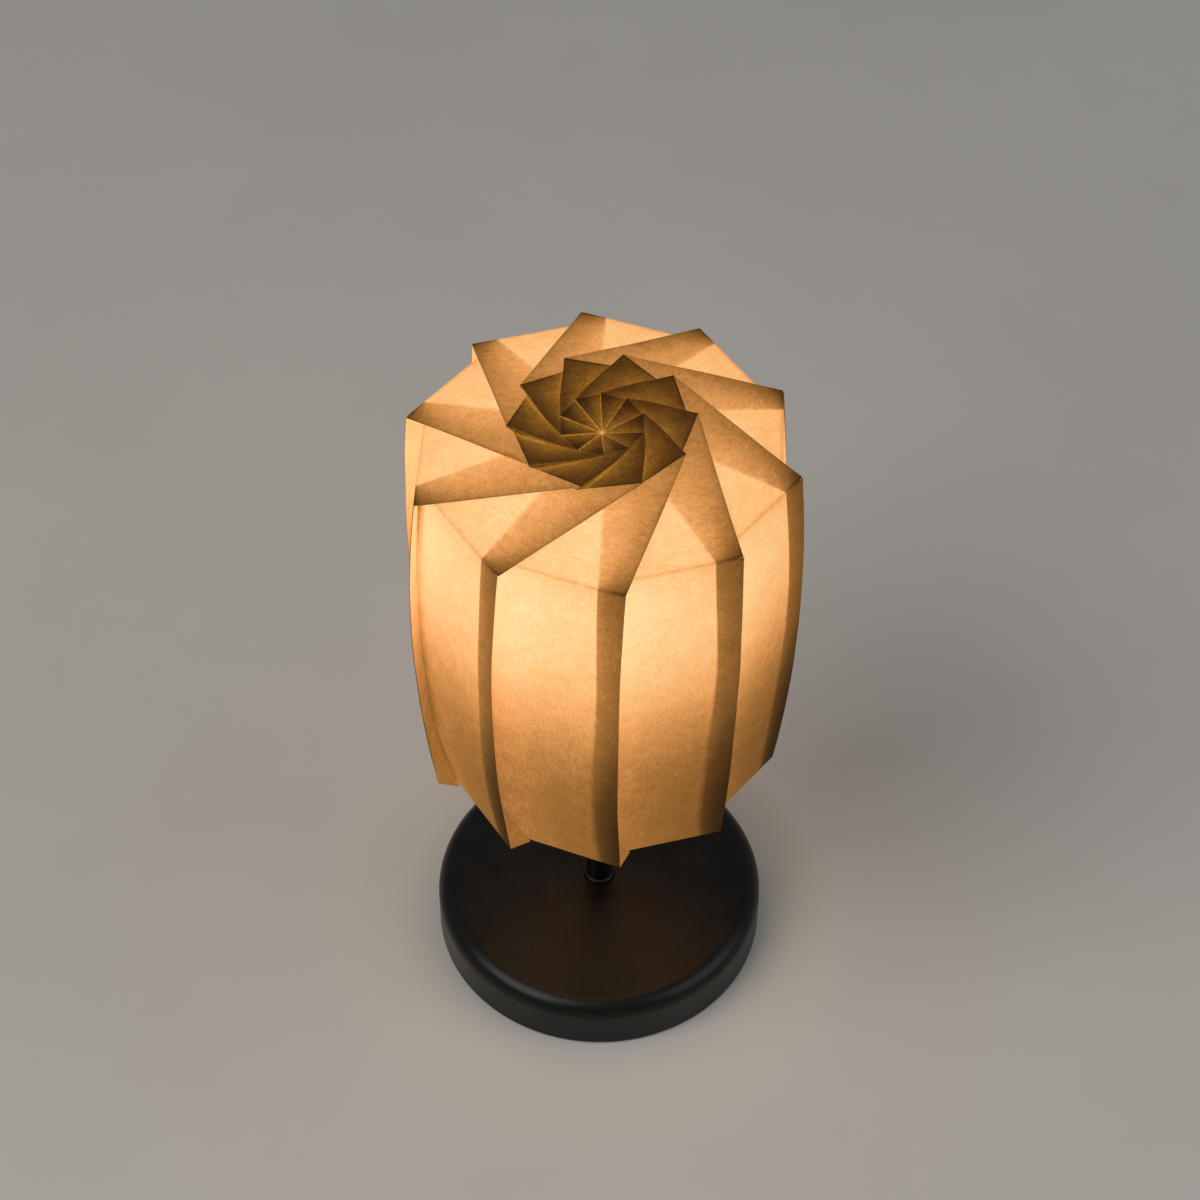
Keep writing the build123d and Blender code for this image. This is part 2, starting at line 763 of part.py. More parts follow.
# The turned-back layer of the strap ends on the hidden edge of the next strap.
next_foot = polar(hidden_radius, hidden_start)
next_end = strap_end.rotate(Axis.Z, pitch_angle)

# The petal lies on the rosette between two free edges and tucks under its neighbour. A layer
# turned back under its free edge closes the gap down to the next petal.
eye = polar(eye_radius, eye_angle, eye_rise)
petal_plane = (tip, petal_start, eye)
tuck_way = Vector(-free_edge.Y, free_edge.X, 0).normalized() * petal_tuck
petal_tuck_start = drop_to_facet(petal_plane, petal_start + tuck_way)
petal_tuck_end = drop_to_facet(petal_plane, next_eye + tuck_way * 0.5)

# The dished centre: a sector between two eye corners, one a little lower than its neighbour.
centre = Vector(0, 0, rim_level + centre_rise)
low_eye = next_eye - Vector(0, 0, dish_step)
sector_eye = Vector(eye.X * dish_overlap, eye.Y * dish_overlap, eye.Z)
sector_low = Vector(low_eye.X * dish_overlap, low_eye.Y * dish_overlap, low_eye.Z)

with BuildPart() as pleated_shade:
    add(sheet_solid(1, 0))
    add(sheet_solid(-1, 2 * paper), mode=Mode.SUBTRACT)
    pieces = [
        facet([strap_foot, strap_corner, tip, petal_start, strap_end], paper),
        facet([strap_corner, tip, next_foot], paper),
        facet([tip, next_end, next_foot], paper),
        facet([tip, eye, petal_tuck_end, petal_tuck_start, petal_start], petal_thickness),
        facet([tip, eye, petal_tuck_start.rotate(Axis.Z, pitch_angle)], paper),
        facet([sector_eye, sector_low, centre], dish_thickness),
    ]
    for piece in pieces:
        with PolarLocations(0, pleat_count):
            add(piece)
    with Locations((0, 0, rim_level + centre_rise - dish_thickness / 2)):
        Cylinder(knot_radius, dish_thickness)
write("pleated_shade", pleated_shade.part)

# ============================================================== shade carrier

fold_run = strap_end - strap_foot
fold_slope = fold_run.Z / hypot(fold_run.X, fold_run.Y)
fold_height = (hidden_radius - carrier_ring_radius) * fold_slope
carrier_ring_level = rim_level + fold_height - 2 * paper - wire_radius - slip

arm_level = flange_top + carrier_plate_thickness - arm_radius - arm_sink
arm_root = carrier_plate_radius - arm_overlap

with BuildPart() as carrier_arm:
    with BuildLine(Plane.XZ):
        FilletPolyline(
            (arm_root, arm_level),
            (carrier_ring_radius, arm_level),
            (carrier_ring_radius, carrier_ring_level),
            radius=arm_bend,
        )
    with BuildSketch(Plane.YZ.offset(arm_root)):
        with Locations((0, arm_level)):
            Circle(arm_radius)
    sweep()

with BuildPart() as shade_carrier:
    with BuildSketch(Plane.XY.offset(flange_top)):
        Circle(carrier_plate_radius)
        Circle(skirt_thread_radius + loose_fit, mode=Mode.SUBTRACT)
    extrude(amount=carrier_plate_thickness)
    with BuildSketch(Plane.XZ):
        with Locations((carrier_ring_radius, carrier_ring_level)):
            Circle(wire_radius)
    revolve(axis=Axis.Z)
    with PolarLocations(0, carrier_arms, 45):
        add(carrier_arm.part)
write("shade_carrier", shade_carrier.part)

print("rim level", round(rim_level, 2), "hem level", round(hem_level, 2), "bulb top", round(bulb_top, 2))
print("shade volume", round(pleated_shade.part.volume, 1), "solids", len(pleated_shade.part.solids()))
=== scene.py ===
from math import cos, exp, pi, radians, sin

import bpy
from mathutils import Matrix, Vector


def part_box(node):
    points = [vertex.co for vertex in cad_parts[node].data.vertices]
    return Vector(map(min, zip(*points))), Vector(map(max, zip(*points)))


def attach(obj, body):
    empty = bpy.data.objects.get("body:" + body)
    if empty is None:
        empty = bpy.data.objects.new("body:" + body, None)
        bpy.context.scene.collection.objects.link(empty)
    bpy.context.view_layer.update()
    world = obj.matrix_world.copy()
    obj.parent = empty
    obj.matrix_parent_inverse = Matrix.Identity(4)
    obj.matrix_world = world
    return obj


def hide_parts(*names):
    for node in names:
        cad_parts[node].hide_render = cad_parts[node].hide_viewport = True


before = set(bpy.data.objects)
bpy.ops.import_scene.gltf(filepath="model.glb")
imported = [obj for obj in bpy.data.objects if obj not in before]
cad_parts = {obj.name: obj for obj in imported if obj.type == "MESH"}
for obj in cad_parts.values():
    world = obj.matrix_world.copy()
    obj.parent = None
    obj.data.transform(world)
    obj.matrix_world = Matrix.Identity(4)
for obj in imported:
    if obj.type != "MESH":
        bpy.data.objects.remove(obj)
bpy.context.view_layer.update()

# A table lamp with a pleated paper shade, lit from within. Lengths are in metres, angles in
# degrees from the front, and a rise is a height above the shade's rim. A drop is a share of the
# shade's height, 0 at the rim and 1 at the hem. A glow is how bright the lit paper looks, from 0
# to 255.

mm = 0.001

# ---- the sheet and its pleats ----
pleats = 10
pitch = 360 / pleats
paper = 0.5 * mm                # thickness of the sheet
shade_height = 193.0 * mm
rim_radius = 88.0 * mm          # outer folds at the rim, the belly and the hem
belly_radius = 92.0 * mm
hem_radius = 84.7 * mm
pleat_tuck = 6.0 * mm           # a closed pleat's hidden fold lies this far inside the outer fold
corner_angle = 6.4              # the first outer fold at the rim
fold_lead = 7.34                # from a hidden fold to its outer fold at the rim
fold_sway = 1.7                 # an outer fold bows back by this much at half height
fold_lean = 1.1                 # the hidden fold has drawn back by this much more at the hem
opening_start = 0.86            # drop at which the pleats begin to spring open
opening_tuck = 8.0 * mm         # an open pleat's knee, inside the outer fold and ahead of it
opening_lead = 4.2
hidden_tuck = 7.7 * mm          # an open pleat's hidden fold, inside the outer fold and behind it
hidden_lag = 3.4

# ---- the twisted top ----
tip_radius = 41.5 * mm          # tips of the rosette
tip_rise = 16.9 * mm
tip_twist = 53.1                # from a rim corner to its tip
strap_end_radius = 36.0 * mm    # inner end of a strap's hidden edge
strap_end_lead = 1.5
strip_foot_radius = 83.3 * mm   # where the edge of a strap's dark strip starts on the rim
strip_apex_radius = 51.5 * mm   # apex of the bright triangle, to which that edge runs
closing_drop = 1.0 * mm         # the closing facets start this far below the start of a petal

# ---- the rosette and its dished centre ----
eye_radius = 18.7 * mm
eye_rise = 14.3 * mm
eye_twist = 51.9                # from a tip to its corner of the eye
centre_rise = 8.5 * mm
petal_sheet = 1.1 * mm          # a petal is several layers of the sheet
petal_bow = 0.7 * mm            # its free edge bows outward by this much
tip_cover = 4.0 * mm            # length of a petal's edge beyond the petal that lies over it
petal_tuck = 4.0 * mm           # a petal goes on for this depth under the next one
tuck_draw_back = 1.5 * mm       # its tuck ends short of the eye's corner
tuck_offset = 0.5 * mm
dish_sheet = 1.2 * mm
dish_step = 0.8 * mm            # a sector's low side lies this far under its high side
dish_fold_width = 0.42 * mm
dish_drop = 0.3 * mm            # from the eye's edge down to the dish
dish_overlap = 1.01

rim_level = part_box("pleated_shade")[1].z - tip_rise


# =============================================================== small helpers


def polar(radius, angle, rise=0.0):
    """A point by its radius, its angle from the front and its height above the rim."""
    turn = radians(angle - 90)
    return Vector((radius * cos(turn), radius * sin(turn), rim_level + rise))


def turned(point, angle):
    return Matrix.Rotation(radians(angle), 4, "Z") @ point


def blend(start, end, share):
    return start + (end - start) * share


def rise_between(low, high, value):
    """Climbs smoothly from 0 at low to 1 at high."""
    share = min(1.0, max(0.0, (value - low) / (high - low)))
    return share * share * (3 - 2 * share)


def step_down(value, centre, width):
    """Falls from 1 to 0 round a centre, along a long s-curve."""
    return 1 / (1 + exp((value - centre) / width))


def fade(value, over):
    """Falls from 1 at 0, and is nearly gone after a few times over."""
    return exp(-value / over)


def bell(value, centre, width):
    """Is 1 at its centre and falls to 0 on both sides."""
    return exp(-((value - centre) / width) ** 2)


def arch(share):
    """Is 0 at both ends of a run and 1 halfway."""
    return 4 * share * (1 - share)


def shares(count, start=0.0, end=1.0):
    """A run from start to end in equal steps."""
    return [start + (end - start) * (step / count) for step in range(count + 1)]


def colour(code):
    """A colour as the shader wants it, from its usual six-digit code."""
    parts = [int(code[place:place + 2], 16) / 255 for place in (0, 2, 4)]
    return [part / 12.92 if part < 0.04045 else ((part + 0.055) / 1.055) ** 2.4 for part in parts] + [1.0]


class Graph:
    """Adds nodes to a tree, each with its settings and what feeds it."""

    def __init__(self, tree):
        self.tree = tree

    def add(self, kind, feeds=None, **settings):
        node = self.tree.nodes.new(kind)
        for name, value in settings.items():
            setattr(node, name, value)
        for socket, value in (feeds or {}).items():
            self.feed(node.inputs[socket], value)
        return node

    def feed(self, socket, value):
        """Links a value that comes from a node, and sets a plain one."""
        if isinstance(value, bpy.types.NodeSocket):
            self.tree.links.new(value, socket)
        else:
            socket.default_value = value

    def math(self, operation, first, second=0.0, clamp=False):
        feeds = {0: first, 1: second}
        return self.add("ShaderNodeMath", feeds, operation=operation, use_clamp=clamp).outputs[0]

    def vector(self, operation, first, second):
        return self.add("ShaderNodeVectorMath", {0: first, 1: second}, operation=operation).outputs[0]

    def noise(self, place, scale, detail, roughness, distortion=0.0):
        feeds = {"Vector": place, "Scale": scale, "Detail": detail, "Roughness": roughness,
                 "Distortion": distortion}
        return self.add("ShaderNodeTexNoise", feeds).outputs["Fac"]

    def spread(self, value, low, high, to_low=0.0, to_high=1.0):
        """Maps low..high of a value to to_low..to_high."""
        feeds = {"Value": value, "From Min": low, "From Max": high, "To Min": to_low, "To Max": to_high}
        return self.add("ShaderNodeMapRange", feeds).outputs["Result"]

    def spread_noise(self, noise, to_low=0.0, to_high=1.0):
        """Maps the range that most of a noise lies in to to_low..to_high."""
        return self.spread(noise, 0.3, 0.7, to_low, to_high)

    def mix(self, share, first, second, blend_type="MIX"):
        feeds = {0: share, 6: first, 7: second}
        node = self.add("ShaderNodeMix", feeds, data_type="RGBA", blend_type=blend_type)
        return node.outputs[2]

    def ramp(self, value, stops):
        node = self.add("ShaderNodeValToRGB", {"Fac": value})
        band = node.color_ramp
        while len(band.elements) < len(stops):
            band.elements.new(1.0)
        for element, (place, code) in zip(band.elements, stops):
            element.position = place
            element.color = colour(code)
        return node.outputs["Color"]


value_socket, vector_socket = "NodeSocketFloat", "NodeSocketVector"


def new_group(name, kind, inputs, outputs):
    """A node group with named sockets: its tree, its graph, what it is given and its output node."""
    tree = bpy.data.node_groups.new(name, kind)
    for socket_name, socket_kind, value in inputs:
        socket = tree.interface.new_socket(socket_name, in_out="INPUT", socket_type=socket_kind)
        if value is not None:
            socket.default_value = value
    for socket_name, socket_kind in outputs:
        tree.interface.new_socket(socket_name, in_out="OUTPUT", socket_type=socket_kind)
    graph = Graph(tree)
    return tree, graph, graph.add("NodeGroupInput").outputs, graph.add("NodeGroupOutput")


# ============================================================ shared effects


def effect_group(name, scales, outputs):
    """A shader node group that reads a place and some scales, and puts out masks."""
    inputs = [("Place", vector_socket, None)]
    inputs += [(scale_name, value_socket, value) for scale_name, value in scales.items()]
    return new_group(name, "ShaderNodeTree", inputs, [(output, value_socket) for output in outputs])


def put_out(graph, result, **values):
    """Links each value to the group's output of that name."""
    for name, value in values.items():
        graph.tree.links.new(value, result.inputs[name])


def paper_fibre_group():
    """Long fibres, crossed threads, cloudy mottle and fine grain of handmade paper."""
    tree, graph, given, result = effect_group(
        "handmade paper",
        {"Fibre scale": 420.0, "Cloud scale": 95.0, "Thread scale": 950.0, "Grain scale": 1500.0},
        ("Fibres", "Threads", "Clouds", "Grain"),
    )
    fibre_width = 0.09
    lying_stretch = (0.3, 0.3, 2.0)
    standing_stretch = (1.5, 1.5, 0.22)
    place, thread_scale = given["Place"], given["Thread scale"]
    veins = graph.noise(place, given["Fibre scale"], detail=4.0, roughness=0.6, distortion=1.6)
    ridge = graph.math("ABSOLUTE", graph.math("SUBTRACT", veins, 0.5))
    fibres = graph.spread(ridge, 0.0, fibre_width, 1.0, 0.0)
    lying = graph.vector("MULTIPLY", place, lying_stretch)
    standing = graph.vector("MULTIPLY", place, standing_stretch)
    laid = graph.noise(lying, thread_scale, detail=3.0, roughness=0.6)
    crossed = graph.noise(standing, thread_scale, detail=3.0, roughness=0.6)
    threads = graph.math("MULTIPLY", graph.math("ADD", laid, crossed), 0.5)
    clouds = graph.noise(place, given["Cloud scale"], detail=5.0, roughness=0.62)
    grain = graph.noise(place, given["Grain scale"], detail=3.0, roughness=0.7)
    put_out(graph, result, Fibres=fibres, Threads=threads, Clouds=clouds, Grain=grain)
    return tree


def worn_edge_group():
    """Where edges are rubbed, where dust lies, and the fine unevenness of a coated surface."""
    tree, graph, given, result = effect_group(
        "rubbed and dusty",
        {"Edge width": 0.6 * mm, "Speckle scale": 900.0, "Cloud scale": 40.0},
        ("Edges", "Dust", "Speckle", "Clouds"),
    )
    place = given["Place"]
    dust_scale = 2600.0
    bevel = graph.add("ShaderNodeBevel", {"Radius": given["Edge width"]}, samples=4)
    normal = graph.add("ShaderNodeNewGeometry").outputs["Normal"]
    turn = graph.add("ShaderNodeVectorMath", {0: bevel.outputs[0], 1: normal}, operation="DOT_PRODUCT")
    speckle = graph.noise(place, given["Speckle scale"], detail=4.0, roughness=0.65)
    clouds = graph.noise(place, given["Cloud scale"], detail=4.0, roughness=0.6)
    # Where the rounded normal turns away from the plain one there is an edge, rubbed in patches.
    rubbed = graph.spread(turn.outputs["Value"], 0.995, 0.90)
    edges = graph.math("MULTIPLY", rubbed, graph.spread(speckle, 0.42, 0.6), clamp=True)
    # Dust lies in specks on what faces upwards.
    level = graph.add("ShaderNodeSeparateXYZ", {0: normal}).outputs["Z"]
    upward = graph.spread(level, 0.5, 1.0)
    specks = graph.spread(graph.noise(place, dust_scale, detail=2.0, roughness=0.6), 0.62, 0.72)
    dust = graph.math("MULTIPLY", upward, graph.math("MULTIPLY", specks, graph.spread(clouds, 0.4, 0.7)))
    put_out(graph, result, Edges=edges, Dust=dust, Speckle=speckle, Clouds=clouds)
    return tree


def turned_metal_group():
    """Fine rings that a lathe or a brush leaves round the upright axis."""
    tree, graph, given, result = effect_group("turned rings", {"Ring scale": 2200.0}, ("Rings",))
    parts = graph.add("ShaderNodeSeparateXYZ", {0: given["Place"]}).outputs
    flat = graph.add("ShaderNodeCombineXYZ", {"X": parts["X"], "Y": parts["Y"]}).outputs[0]
    reach = graph.add("ShaderNodeVectorMath", {0: flat}, operation="LENGTH").outputs["Value"]
    along = graph.add("ShaderNodeCombineXYZ", {"X": reach, "Y": parts["Z"]}).outputs[0]
    rings = graph.noise(along, given["Ring scale"], detail=3.0, roughness=0.7)
    put_out(graph, result, Rings=rings)
    return tree


paper_fibre = paper_fibre_group()
worn_edge = worn_edge_group()
turned_metal = turned_metal_group()


def socket_names(values):
    """Sockets have spaces in their names where the script's keywords have underscores."""
    return {name.replace("_", " "): value for name, value in values.items()}


def use_group(graph, tree, **values):
    """Places a shared effect in a material, on the piece's own coordinates."""
    place = graph.add("ShaderNodeTexCoord").outputs["Object"]
    return graph.add("ShaderNodeGroup", {"Place": place, **socket_names(values)}, node_tree=tree).outputs


def new_material(name):
    material = bpy.data.materials.new(name)
    material.use_nodes = True
    graph = Graph(material.node_tree)
    surface = material.node_tree.nodes["Principled BSDF"]
    return material, graph, surface


def finish_with(graph, surface, height, distance, strength, **feeds):
    """Gives the surface a bump and what the named sockets are fed with."""
    bump = graph.add("ShaderNodeBump", {"Height": height, "Distance": distance, "Strength": strength})
    graph.feed(surface.inputs["Normal"], bump.outputs[0])
    for name, value in socket_names(feeds).items():
        graph.feed(surface.inputs[name], value)


# ================================================================== lit paper

# The colour that the lamp's warm light takes on through one sheet, from deep shade to full glow.
one_sheet = [(0.0, "080401"), (0.13, "382208"), (0.24, "5c3c16"), (0.42, "9e6a31"), (0.57, "d69250"),
             (0.68, "f5ae6b"), (0.80, "fdcb8a"), (0.88, "ffe0a4"), (1.0, "fff2cf")]
# Through many sheets it is greener and holds less blue.
many_sheets = [(0.0, "060401"), (0.13, "382107"), (0.20, "53320c"), (0.33, "7e541b"), (0.47, "b4782a"),
               (0.60, "d79c4a"), (1.0, "ffe9a8")]

# How strongly each mark of the paper changes its glow.
cloud_mark, grain_mark, thread_mark, fibre_mark = 0.05, 0.08, 0.09, 0.055
between_fibres = 1.012
base_share_of_glow = (0.30, 0.28, 0.25, 1.0)   # the base colour is this share of the lit tone, so it carries the painted glow and painted shade
lit_strength = 0.9


def lit_paper(name, stops, rear_shade, side_shade, contrast):
    """Paper lit from behind. The glow comes from the piece, and the paper's marks break it up.

    It loses the rear shade towards the rear, and the darker it is, the more of the side shade
    towards the right. The contrast is the strength of the marks.
    """
    material, graph, surface = new_material(name)
    sheet = use_group(graph, paper_fibre)
    glow = graph.add("ShaderNodeAttribute", attribute_name="glow").outputs["Fac"]
    place = graph.add("ShaderNodeTexCoord").outputs["Object"]
    parts = graph.add("ShaderNodeSeparateXYZ", {0: place}).outputs
    rear = graph.spread(parts["Y"], -rim_radius, rim_radius, 1.0, 1.0 - rear_shade)
    right = graph.spread(parts["X"], 0.0, rim_radius, 0.0, side_shade)
    side = graph.math("SUBTRACT", 1.0, graph.math("MULTIPLY", right, graph.math("SUBTRACT", 1.0, glow)))
    clouds = graph.spread_noise(sheet["Clouds"], 1 - cloud_mark * contrast, 1 + cloud_mark * contrast)
    grain = graph.spread_noise(sheet["Grain"], 1 - grain_mark * contrast, 1 + grain_mark * contrast)
    thread_ends = 1 - thread_mark * contrast, 1 + thread_mark * contrast
    threads = graph.spread(sheet["Threads"], 0.35, 0.65, *thread_ends)
    fibres = graph.spread(sheet["Fibres"], 0.0, 1.0, between_fibres, 1 - fibre_mark * contrast)
    cloudy, fibrous = graph.math("MULTIPLY", clouds, grain), graph.math("MULTIPLY", threads, fibres)
    marks = graph.math("MULTIPLY", cloudy, fibrous)
    glow = graph.math("MULTIPLY", glow, graph.math("MULTIPLY", rear, side))
    # In the brightest paper the marks are half as strong.
    change, share = graph.math("SUBTRACT", marks, 1.0), graph.spread(glow, 0.5, 0.85, 1.0, 0.5)
    seen = graph.math("MULTIPLY", change, share)
    glow = graph.math("MULTIPLY", glow, graph.math("ADD", 1.0, seen))
    tone = graph.ramp(glow, stops)
    # The base colour is the painted glow's tone times a fixed share, so its painted light and shade show in
    # the paper's base colour too.
    body = graph.mix(1.0, tone, base_share_of_glow, "MULTIPLY")
    height = graph.math("ADD", sheet["Threads"], sheet["Fibres"])
    rough = graph.spread_noise(sheet["Grain"], 0.8, 0.95)
    finish_with(graph, surface, height, distance=0.12 * mm, strength=0.5, Base_Color=body, Roughness=rough,
                Emission_Color=tone, Emission_Strength=lit_strength, Specular_IOR_Level=0.15)
    return material


shade_paper = lit_paper("lit paper", one_sheet, rear_shade=0.09, side_shade=0.3, contrast=1.0)
layered_paper = lit_paper("lit paper in layers", many_sheets, rear_shade=-0.22, side_shade=0.2, contrast=1.6)


# ============================================================== pleated sheet

no_area = 1e-9   # a cross product shorter than this belongs to a row that is only a point


class Sheet:
    """Points, faces and glow of one piece of the folded sheet."""

    def __init__(self):
        self.points, self.faces, self.glow = [], [], []

    def add_points(self, row):
        start = len(self.points)
        for point, glow in row:
            self.points.append(point)
            self.glow.append(glow / 255)
        return list(range(start, len(self.points)))

    def join(self, first, second):
        """Faces between two rows of points, which look to the left of the way the rows run."""
        for number in range(len(first) - 1):
            self.faces.append((first[number], second[number], second[number + 1], first[number + 1]))

    def slab(self, grid, thickness, under_glow, edge_glow=None):
        """A facet over rows of points, with its thickness below and its edges closed.

        Its underside has the under glow, except along its border, which keeps the glow above it.
        The edge glow, if given, takes its place along the first and the last row.
        """
        a, b, c = grid[0][0][0], grid[-1][0][0], grid[-1][-1][0]
        if (b - a).cross(c - a).length < no_area:
            a, b, c = grid[0][-1][0], grid[0][0][0], grid[-1][-1][0]
        down = (b - a).cross(c - a).normalized() * thickness
        if down.z > 0:
            grid = grid[::-1]
            down = -down
        top = [self.add_points(row) for row in grid]
        under = []
        for number, row in enumerate(grid):
            edge_row = number in (0, len(grid) - 1)
            lower = []
            for place, (point, glow) in enumerate(row):
                if edge_row and edge_glow:
                    glow = edge_glow
                elif not edge_row and 0 < place < len(row) - 1:
                    glow = under_glow
                lower.append((point + down, glow))
            under.append(self.add_points(lower))
        for number in range(len(grid) - 1):
            self.join(top[number + 1], top[number])
            self.join(under[number], under[number + 1])
        self.join(top[0], under[0])
        self.join(under[-1], top[-1])
        self.join([row[0] for row in under], [row[0] for row in top])
        self.join([row[-1] for row in top], [row[-1] for row in under])

    def triangle(self, first, second, third, steps, glow, under_glow):
        """A plain facet of the sheet, in a few steps each way so that its glow is even inside."""
        rows = []
        for down in shares(steps):
            near, far = blend(first, second, down), blend(first, third, down)
            rows.append([(blend(near, far, across), glow) for across in shares(steps)])
        self.slab(rows, paper, under_glow)

    def make(self, name):
        mesh = bpy.data.meshes.new(name)
        mesh.from_pydata(self.points, [], self.faces)
        attribute = mesh.attributes.new("glow", "FLOAT", "POINT")
        attribute.data.foreach_set("value", self.glow)
        piece = bpy.data.objects.new(name, mesh)
        bpy.context.scene.collection.objects.link(piece)
        return piece


def fold_radius(drop):
    """Outer folds swell from the rim to the belly and draw in again to the hem."""
    swell = belly_radius - (rim_radius + hem_radius) / 2
    return blend(rim_radius, hem_radius, drop) + swell * arch(drop)


def pleat_points(index, drop):
    """Middle of the sheet at a share of the drop: outer fold, knee and hidden fold of a pleat."""
    sprung = max(0.0, (drop - opening_start) / (1 - opening_start))
    radius = fold_radius(drop)
    start = corner_angle + index * pitch
    fold_angle = start - fold_sway * arch(drop)
    hidden_angle = start - fold_lead - fold_lean * drop
    rise = -drop * shade_height
    fold = polar(radius, fold_angle, rise)
    closed_hidden = polar(radius - pleat_tuck, hidden_angle, rise)
    open_hidden = polar(radius - hidden_tuck, fold_angle - hidden_lag, rise)
    open_knee = polar(radius - opening_tuck, fold_angle + opening_lead, rise)
    knee = blend(blend(fold, closed_hidden, 0.5), open_knee, sprung)
    return fold, knee, blend(closed_hidden, open_hidden, sprung)


def fold_corner(before, point, after, side):
    """One face of the sheet at a fold: where it arrives, its round, and where it leaves."""
    arriving = (point - before).normalized()
    leaving = (after - point).normalized()
    first = Vector((arriving.y, -arriving.x, 0)) * side * paper / 2
    second = Vector((leaving.y, -leaving.x, 0)) * side * paper / 2
    outside = first.cross(second).z > 0
    if outside:
        return point + first, point + (arriving - leaving).normalized() * paper / 2, point + second
    mitre = point + (first + second) / (1 + first.dot(second) / (paper / 2) ** 2)
    return mitre, mitre, mitre


# ---- how the wall glows ----

crease_depth, crease_width = 21, 0.8 * mm   # a crease is darker than the paper beside it
tuck_loss = 8                   # what is folded behind glows this much less than its panel
round_loss = 6                  # and the round of an outer fold this much less than its band
hollow_glow = 62                # in the hollow of a hidden fold, at the rim
hollow_share = 0.8              # and below, as a share of the tucked paper's glow
hollow_end = 0.25

# Columns of a panel: up to its band, across the band's soft edge, and on to the outer fold.
panel_columns = (0, 0.12, 0.22, 0.26, 0.34, 0.44, 0.56, 0.68, 0.8, 0.9, 0.97)
edge_columns = (0, 0.2, 0.4, 0.6, 0.8, 1)
band_columns = (0.12, 0.3, 0.5, 0.7, 0.86, 0.95, 1)
knee_columns = (0, 1 / 3, 2 / 3, 1)
hidden_columns = (0, 0.4, 0.7, 0.88)

# Rows of the wall: close together below the rim, then even.
rim_rows = [0, 0.003, 0.007, 0.013, 0.022, 0.035]
wall_rows = rim_rows + shares(44, start=0.05)


def band_edge(drop):
    """Where the folded layers under a panel begin, as a share of its width, and how softly."""
    place = 0.802 + 0.035 * bell(drop, centre=0.33, width=0.25)
    return place, 0.012 + 0.075 * drop ** 1.5


def panel_glow(share, drop):
    """One sheet of a panel: brightest level with the bulb, dim towards the hem."""
    hem_glow, bulb_gain, rim_loss = 101, 117, 20
    near_bulb = min(1, 1.03 * step_down(drop, centre=0.46, width=0.115))
    single = hem_glow + bulb_gain * near_bulb - rim_loss * fade(drop, over=0.06)
    left_gain = (10 + 4 * drop) * (1 - rise_between(0.19, 0.54, share))
    right_loss = (5 + 2 * drop) * rise_between(0.5, 0.8, share)
    return single + left_gain - right_loss


def band_glow(share, drop):
    """Three sheets, where a pleat lies over its neighbour."""
    hem_glow, bulb_gain, rim_loss = 45, 73, 17
    middle, slope_before, slope_after = 0.9, 220, 150
    near_bulb = step_down(drop, centre=0.57, width=0.105)
    layered = hem_glow + bulb_gain * near_bulb - rim_loss * fade(drop, over=0.1)
    return layered - (share - middle) * (slope_before if share < middle else slope_after)


def crease_shade(away):
    """The sheet is darker along a crease, away metres from it."""
    return crease_depth * bell(away, centre=0, width=crease_width)


def wall_glow(share, drop):
    place, width = band_edge(drop)
    layered = rise_between(place - width / 2, place + width / 2, share)
    glow = blend(panel_glow(share, drop), band_glow(share, drop), layered)
    return glow - crease_shade(drop * shade_height)


def inside_glow(drop):
    hem_glow, bulb_gain = 150, 90
    return hem_glow + bulb_gain * step_down(drop, centre=0.75, width=0.14)


def panel_shares(drop):
    """Columns of a panel, closest together along the edge of its band."""
    place, width = band_edge(drop)
    low, high = place - width / 2, place + width / 2
    panel = [low * share for share in panel_columns]
    edge = [blend(low, high, share) for share in edge_columns]
    band = [blend(high, 1, share) for share in band_columns]
    return panel + edge + band


def wall_row(drop, side):
    """One face of the sheet across a pleat: its panel, its outer fold, its knee and hidden fold."""
    _, knee_before, hidden_before = pleat_points(-1, drop)
    fold, knee, hidden = pleat_points(0, drop)
    fold_after = pleat_points(1, drop)[0]
    _, start_round, start = fold_corner(knee_before, hidden_before, fold, side)
    fold_in, fold_round, fold_out = fold_corner(hidden_before, fold, knee, side)
    knee_in, _, knee_out = fold_corner(fold, knee, hidden, side)
    end, end_round, _ = fold_corner(knee, hidden, fold_after, side)
    outside = side > 0 or drop == 0
    tucked = panel_glow(0, drop) - tuck_loss if outside else inside_glow(drop)
    hollow = blend(hollow_glow, tucked * hollow_share, rise_between(0, hollow_end, drop))
    row = [(start_round, hollow)]
    for share in panel_shares(drop):
        glow = wall_glow(share, drop) if outside else inside_glow(drop)
        row.append((blend(start, fold_in, share), glow))
    row.append((fold_round, wall_glow(1, drop) - round_loss))
    row += [(blend(fold_out, knee_in, share), tucked) for share in knee_columns]
    row += [(blend(knee_out, end, share), tucked) for share in hidden_columns]
    row += [(end, hollow), (end_round, hollow)]
    return row


def pleat_of_wall():
    """One pleat of the wall, from hidden fold to hidden fold, as a closed sheet."""
    sheet = Sheet()
    outer = [sheet.add_points(wall_row(drop, 1)) for drop in wall_rows]
    inner = [sheet.add_points(wall_row(drop, -1)) for drop in wall_rows]
    for number in range(len(wall_rows) - 1):
        sheet.join(outer[number], outer[number + 1])
        sheet.join(inner[number + 1], inner[number])
    sheet.join(inner[0], outer[0])
    sheet.join(outer[-1], inner[-1])
    return sheet.make("pleat of the wall")


# ============================================================== twisted top


def drop_to_facet(plane, spot):
    """The point straight above or below a spot that lies on the plane of three points."""
    first, second, third = plane
    normal = (second - first).cross(third - first).normalized()
    level = first.z - (normal.x * (spot.x - first.x) + normal.y * (spot.y - first.y)) / normal.z
    return Vector((spot.x, spot.y, level))


